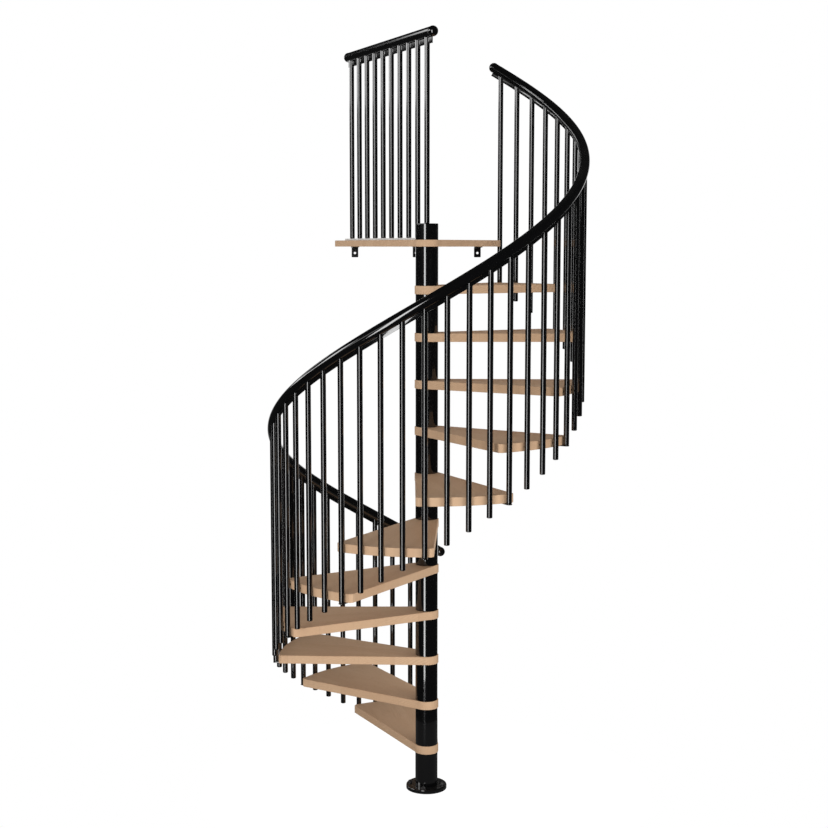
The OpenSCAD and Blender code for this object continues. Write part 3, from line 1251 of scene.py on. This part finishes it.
@dataclass
class StairRailing(Railing):
    """The balusters with their fixings, and the handrail that climbs over them."""

    distance_r: float = 6 * MM
    distance_edge: float = 0.4 * MM
    distance_bite: float = 1 * MM
    foot_t: float = 5 * MM
    foot_l: float = 60 * MM
    foot_edge: float = 0.6 * MM
    foot_corner: float = 3 * MM
    foot_end: float = 0.98
    screw_r: float = 4.5 * MM
    screw_places: Span = (-58 * MM, -36 * MM)
    step: float = 1.25

    def on_circle(self, turn: float, z: float) -> tuple[np.ndarray, np.ndarray]:
        """Return the origin and axes on the balusters' circle, with X outwards."""
        axes = z_turn(turn)
        return axes[0] * self.plan.railing_r + np.array([0, 0, z]), axes

    def baluster(self, number: int, foot_z: float) -> Solid:
        """Return a baluster that ends inside the handrail.

        Args:
            number: its number, from 0 at the foot of the stair.
            foot_z: the height of its foot.

        Returns:
            The baluster.
        """
        turn = self.plan.baluster_turn(number)
        length = self.plan.pitch_z(turn) + self.plan.rail_h - self.seat - foot_z
        post = rod(self.plan.baluster_r, length, self.foot_round)
        return post.placed(*self.on_circle(turn, foot_z))

    def balusters(self) -> None:
        """Build the baluster on the floor and those beside each tread."""
        plan, steel = self.plan, self.finishes.steel
        Piece("floor_baluster", steel, ["first_baluster"]).add(self.baluster(0, 0.0)).publish()
        for n in range(1, plan.tread_count + 1):
            piece = Piece(f"tread_balusters_{n}", steel, [f"balusters_{n}"])
            for k in range((n - 1) * plan.per_tread + 1, n * plan.per_tread + 1):
                piece.add(self.baluster(k, plan.pitch_z(plan.baluster_turn(k)) - plan.tread_t))
            piece.publish()

    def foot(self) -> Solid:
        """Cut a foot plate: narrow and flat, with a round end under its baluster.

        Returns:
            The plate, with X outwards from its baluster's axis.
        """
        half, r, e = self.plan.baluster_r, self.foot_corner, self.foot_edge
        corners, end = rectangle(-half - self.foot_l, -half, half, half), self.foot_end * half
        return slab(softened(corners, [r, end, end, r], 12), self.foot_t, e, e)

    def fixings(self) -> None:
        """Build the distance pieces at the treads' edges, and the foot plates with screws."""
        plan, steel = self.plan, self.finishes.steel
        spacers = Piece("distance_pieces", steel, ["baluster_distance_pieces"])
        plates = Piece("foot_plates", steel, ["baluster_foot_plates"])
        screws = Piece("foot_plate_screws", self.finishes.bolt, crease=50)
        e, r, length = self.distance_edge, self.distance_r, plan.baluster_gap + self.distance_bite
        sleeve = revolve([[0, 0], [r - e, 0], [r, e], [r, length], [0, length]], 24)
        foot, head = self.foot(), screw_head(self.screw_r)
        outward = np.roll(np.eye(3), 1, 1)  # along the climb, up and outwards
        for n in range(1, plan.tread_count + 1):
            under = n * plan.rise - plan.tread_t
            for k in range((n - 1) * plan.per_tread, n * plan.per_tread):
                origin, axes = self.on_circle(plan.baluster_turn(k), under + plan.tread_t / 2)
                reach = axes[0] * (plan.tread_r - plan.railing_r)
                spacers.add(sleeve.placed(origin + reach, outward @ axes))
            turn = plan.baluster_turn(n * plan.per_tread)
            origin, axes = self.on_circle(turn, under - self.foot_t)
            plates.add(foot.placed(origin, axes))
            for x in self.screw_places:
                screws.add(head.placed(origin + axes[0] * x, UPSIDE_DOWN @ axes))
        for piece in (spacers, plates, screws):
            piece.publish()

    def path(self) -> Triple:
        """Lay the handrail's centre line, a helix between its two ends.

        Returns:
            Its points, and the outward and upward directions there.
        """
        plan = self.plan
        low = plan.start_turn - plan.along_helix(plan.rail_low_end)
        last = plan.baluster_turn(plan.tread_count * plan.per_tread)
        high = last + plan.along_helix(plan.rail_high_end)
        return plan.helix(np.linspace(low, high, int((high - low) / self.step) + 1))

    def build(self) -> None:
        """Build every piece of the stair railing."""
        self.balusters()
        self.fixings()
        names = ("climbing_handrail", "climbing_rail_strip", "climbing_handrail_balls")
        nodes = ("stair_handrail", "stair_rail_strip", "stair_handrail_ends")
        self.handrail(self.path(), self.plan.strip_h, names, nodes)


@dataclass
class LandingRailing(Railing):
    """The straight railing along the landing's left side, from the column's cap."""

    column_top: float = field(kw_only=True)
    count: int = 10
    pitch: float = 0.112
    bar_h: float = 10 * MM
    bar_w: float = 30 * MM
    bar_margin: float = 12 * MM
    bar_corner: float = 1.5 * MM
    bar_low: float = 0.5 * MM
    bar_top: float = 1.0 * MM
    bar_step: float = 30 * MM

    @property
    def axes(self) -> np.ndarray:
        """The railing's axes, with X along it from the column."""
        return z_turn(self.plan.landing_rail_turn)

    def bar(self) -> None:
        """Build the flat bar that the balusters stand on."""
        plan, turn, half = self.plan, math.radians(self.plan.landing_rail_turn), self.bar_w / 2
        end = plan.landing_depth / math.sin(turn) - half * abs(1 / math.tan(turn)) - self.bar_margin
        corners = rectangle(plan.column_r + self.bar_margin, -half, end, half)
        outline = divided(softened(corners, self.bar_corner), self.bar_step)
        bar = slab(outline, self.bar_h, self.bar_low, self.bar_top)
        piece = Piece("landing_foot_bar", self.finishes.pale_bar, ["landing_base_bar"])
        piece.add(bar.placed((0, 0, plan.landing_top), self.axes)).publish()

    def balusters(self) -> None:
        """Build the balusters: the first on the column's cap, the others on the bar."""
        plan = self.plan
        top = plan.landing_top + plan.landing_rail_h - self.seat
        piece = Piece("landing_railing_balusters", self.finishes.steel, ["landing_balusters"])
        for k in range(self.count):
            foot = self.column_top if k == 0 else plan.landing_top + self.bar_h
            origin = self.axes[0] * k * self.pitch + np.array([0, 0, foot])
            piece.add(rod(plan.baluster_r, top - foot, self.foot_round).placed(origin, self.axes))
        piece.publish()

    def path(self) -> Triple:
        """Lay the handrail's centre line, which is straight and level.

        Returns:
            Its points, and the outward and upward directions there.
        """
        plan, (along, left, up) = self.plan, self.axes
        far = (self.count - 1) * self.pitch + plan.rail_far_end
        x = np.linspace(-plan.rail_near_end, far, 24)[:, None]
        centre = x * along + up * (plan.landing_top + plan.landing_rail_h)
        return centre, -left + 0 * x, up + 0 * x

    def build(self) -> None:
        """Build every piece of the landing railing."""
        self.bar()
        self.balusters()
        names = ("landing_railing_tube", "landing_railing_strip", "landing_railing_balls")
        nodes = ("landing_handrail", "landing_rail_strip", "landing_handrail_ends")
        self.handrail(self.path(), self.plan.landing_strip_h, names, nodes)


# ---- studio ----


@dataclass
class Studio:
    """The floor, the white surroundings, the lamps and the camera."""

    floor_r: float = 1.15
    floor_drop: float = 0.2 * MM
    floor_colour: Colour = (0.24, 0.24, 0.24)
    floor_glow: float = 0.92
    floor_in_gloss: float = 0.06
    fill: float = 0.62
    studio_dark: float = 0.012
    left_glow: float = 1.3
    tall_glow: float = 1.9
    low_glow: float = 5.0
    # What gloss shows, as spans of the direction's three numbers over which it fades.
    back_from: Span = (0.80, 0.97)
    back_top: Span = (0.12, 0.28)
    left_heights: tuple[Span, Span] = ((0.01, 0.10), (0.16, 0.24))
    left_from: Span = (0.12, 0.35)
    left_until: Span = (-0.55, -0.30)
    tall_slant: float = 0.36
    tall_width: tuple[Span, Span] = ((0.50, 0.54), (0.575, 0.605))
    tall_top: Span = (0.38, 0.46)
    low_width: tuple[Span, Span] = ((-0.34, -0.24), (0.45, 0.60))
    low_top: Span = (0.14, 0.20)
    low_step: float = 0.24
    low_step_at: Span = (0.02, 0.12)
    panel_from: Span = (0.25, 0.40)
    panel_low: Span = (0.086, 0.100)
    key_radiance: float = 6.6
    side_radiance: float = 2.4
    back_radiance: float = 1.2
    eye: tuple[float, float, float] = (0.0853, -7.4048, 2.7806)
    pitch_down: float = 6.461
    heading: float = 1.156
    lens: float = 64.46
    sensor: float = 36.0

    def rays(self, bench: Bench) -> tuple[Field, Field, Field]:
        """Tell apart what the camera, gloss and glass see.

        Args:
            bench: the bench to read them on.

        Returns:
            For each of the three, 1 for its rays and 0 for other light.
        """
        path = bench.node("ShaderNodeLightPath")
        kinds = ("Camera", "Glossy", "Transmission")
        return tuple(bench.field(path, f"Is {kind} Ray") for kind in kinds)

    def floor(self) -> None:
        """Lay a pale round floor, which glows just to white where it isn't shaded."""
        material, bench = new_bench("pale_floor")
        camera, glossy, through = self.rays(bench)
        seen = camera.at_least(through).at_least(self.floor_in_gloss * glossy)
        shade = bench.blend(glossy * (1 - self.floor_in_gloss), self.floor_colour, (0, 0, 0))
        diffuse = bench.node("ShaderNodeBsdfDiffuse", None, {"Color": shade})
        light = {"Color": (1, 1, 1), "Strength": self.floor_glow * seen}
        glow = bench.node("ShaderNodeEmission", None, light)
        both = bench.node("ShaderNodeAddShader", None, {0: diffuse.outputs[0], 1: glow.outputs[0]})
        bench.node("ShaderNodeOutputMaterial", None, {"Surface": both.outputs[0]})
        rim = circle(self.floor_r, 96)
        mesh = bpy.data.meshes.new("floor")
        points = np.concatenate([rim, np.zeros((len(rim), 1)) - self.floor_drop], -1)
        mesh.from_pydata(points.tolist(), [], [list(range(len(rim)))])
        mesh.materials.append(material)
        linked("floor", mesh)

    def reflected(self, bench: Bench) -> Field:
        """Return what gloss shows: a white back, and soft lights on the left.

        Args:
            bench: the world's bench.

        Returns:
            The brightness by direction.
        """
        x, ahead, up = bench.split(bench.place("Generated"))
        aside = 0 - x
        back = ahead.between(*self.back_from) * (1 - up.between(*self.back_top))
        band = up.within(*self.left_heights)
        left = band * aside.between(*self.left_from) * (1 - ahead.between(*self.left_until))
        tall = (ahead - self.tall_slant * up).within(*self.tall_width)
        tall = tall * (1 - up.between(*self.tall_top))
        step = self.low_step * (1 - ahead.between(*self.low_step_at))
        low = ahead.within(*self.low_width) * (1 - (up - step).between(*self.low_top))
        panel = up.between(*self.panel_low) * aside.between(*self.panel_from)
        lights = self.left_glow * left + panel * (self.tall_glow * tall + self.low_glow * low)
        return self.studio_dark + (1 - self.studio_dark) * back + lights * (1 - back)

    def surroundings(self) -> None:
        """Make the world: white to the eye, a dim fill to light, a white back to gloss."""
        world = bpy.data.worlds.new("studio")
        world.use_nodes = True
        bpy.context.scene.world = world
        bench = Bench(world.node_tree)
        camera, glossy, through = self.rays(bench)
        level = self.fill * (1 - glossy) + self.reflected(bench) * glossy
        level = level.at_least(camera).at_least(through)
        sky = bench.node("ShaderNodeBackground", None, {"Color": (1, 1, 1), "Strength": level})
        bench.node("ShaderNodeOutputWorld", None, {"Surface": sky.outputs[0]})

    def lamp(
        self, name: str, place: Sequence[float], target: Sequence[float], size: Span,
        radiance: float, mirrored: bool = False,
    ) -> None:
        """Hang a soft rectangular lamp.

        Args:
            name: its name.
            place: where its centre is.
            target: the point that it faces.
            size: its width and height.
            radiance: its brightness, where 1 is white.
            mirrored: whether gloss shows it.
        """
        light = bpy.data.lights.new(name, "AREA")
        light.shape = "RECTANGLE"
        light.size, light.size_y = size
        light.energy = radiance * math.pi * size[0] * size[1]
        lamp = linked(name, light)
        x, y, z = np.asarray(target, float) - np.asarray(place, float)
        lamp.location = place
        lamp.rotation_euler = (math.atan2(math.hypot(x, y), -z), 0, math.atan2(y, x) - math.pi / 2)
        lamp.visible_camera = False
        lamp.visible_glossy = mirrored

    def lamps(self) -> None:
        """Hang the tall key lamp left of the camera, a broad one right, one behind."""
        self.lamp("key_lamp", (-2.45, -6.9, 1.9), (0, 0, 1.9), (2.0, 7.0), self.key_radiance, True)
        self.lamp("side_lamp", (6.4, -4.6, 2.2), (0, 0, 1.4), (6.0, 6.0), self.side_radiance)
        self.lamp("back_lamp", (3.6, 4.6, 5.6), (0, 0, 0.8), (3.0, 3.0), self.back_radiance)

    def camera(self) -> None:
        """Set the camera up level with the landing, with a long lens, looking down a little."""
        data = bpy.data.cameras.new("camera")
        data.lens, data.sensor_width = self.lens, self.sensor
        camera = linked("camera", data)
        camera.location = self.eye
        camera.rotation_euler = (math.radians(90 - self.pitch_down), 0, math.radians(self.heading))
        bpy.context.scene.camera = camera
        bpy.context.scene.view_settings.view_transform = "Standard"

    def build(self) -> None:
        """Build the whole studio."""
        self.floor()
        self.surroundings()
        self.lamps()
        self.camera()


def main() -> None:
    """Load the frame and build every piece round it."""
    logging.basicConfig(level=logging.INFO, format="%(message)s")
    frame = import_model()
    Studio().build()
    plan, finishes = Plan(), Finishes.made()
    Column(plan, finishes).build()
    Treads(plan, finishes).build()
    Landing(plan, finishes).build()
    StairRailing(plan, finishes).build()
    LandingRailing(plan, finishes, column_top=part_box("column_top")[1][2]).build()
    for slot in frame["nodes"]["column_post"].material_slots:
        slot.material = finishes.steel.material


if __name__ == "__main__":
    main()
